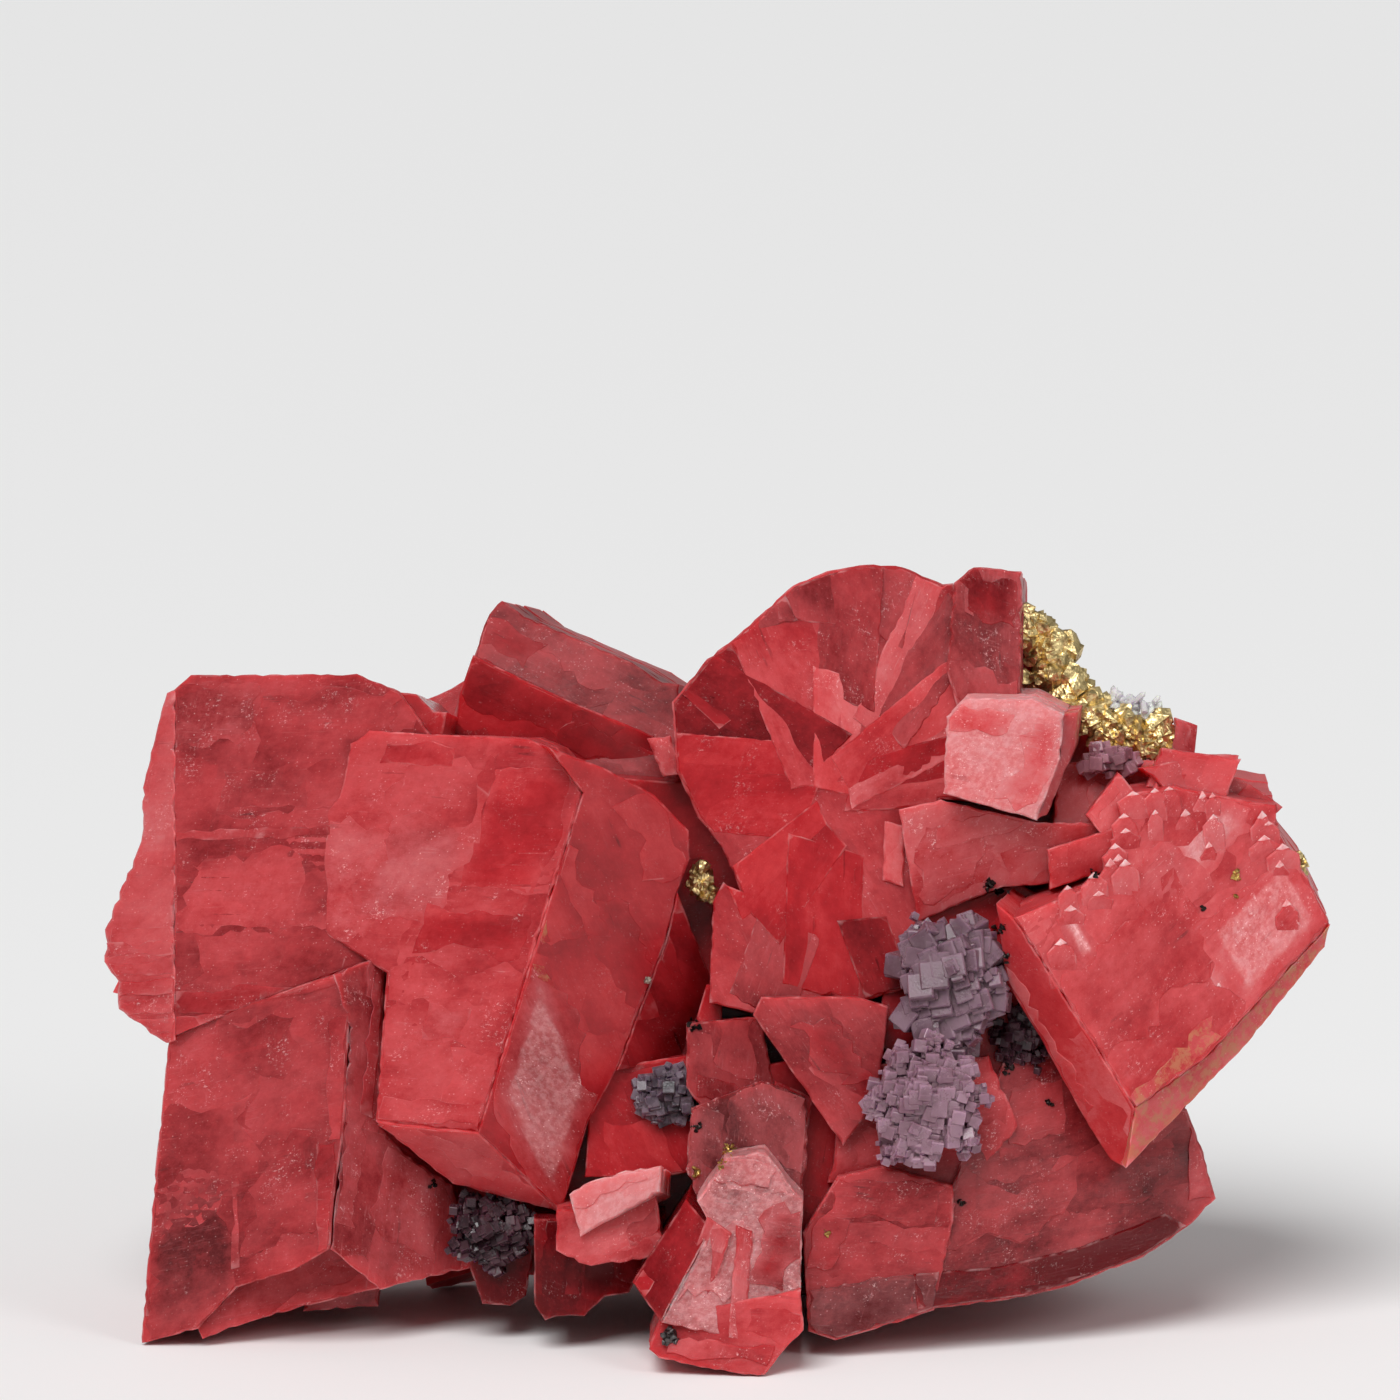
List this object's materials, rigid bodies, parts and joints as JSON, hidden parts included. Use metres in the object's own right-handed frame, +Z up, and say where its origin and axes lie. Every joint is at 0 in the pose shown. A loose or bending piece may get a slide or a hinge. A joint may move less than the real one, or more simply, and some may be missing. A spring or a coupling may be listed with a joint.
{
  "type": "rhodochrosite specimen",
  "caption": "Cabinet-sized cluster of intergrown translucent red rhodochrosite rhombs and blades with lavender fluorite cubes and a brassy chalcopyrite crust, standing on its own feet.",
  "frame": {"origin": "middle of the standing specimen's footprint box, at the level of the surface it stands on", "axes": "+X along the specimen's width to the viewer's right, -Y towards the front where the broad crystal faces look, +Z up"},
  "size_m": [0.1216, 0.063, 0.076],
  "materials": {
    "rhodochrosite": "satin",
    "fluorite_pale": "satin",
    "fluorite_deep": "satin",
    "chalcopyrite": "satin",
    "quartz": "satin",
    "sulphide": "satin"
  },
  "bodies": {
    "root": {"rhodochrosite_crystals": "rhodochrosite", "fluorite_lavender": "fluorite_pale", "fluorite_grey": "fluorite_pale", "fluorite_dark": "fluorite_deep", "fluorite_middle": "fluorite_deep", "fluorite_low": "fluorite_deep", "fluorite_pink": "fluorite_pale", "chalcopyrite_crust": "chalcopyrite", "chalcopyrite_cleft": "chalcopyrite", "chalcopyrite_nub": "chalcopyrite", "quartz_druse": "quartz", "sulphide_grain": "sulphide"}
  },
  "joints": []
}
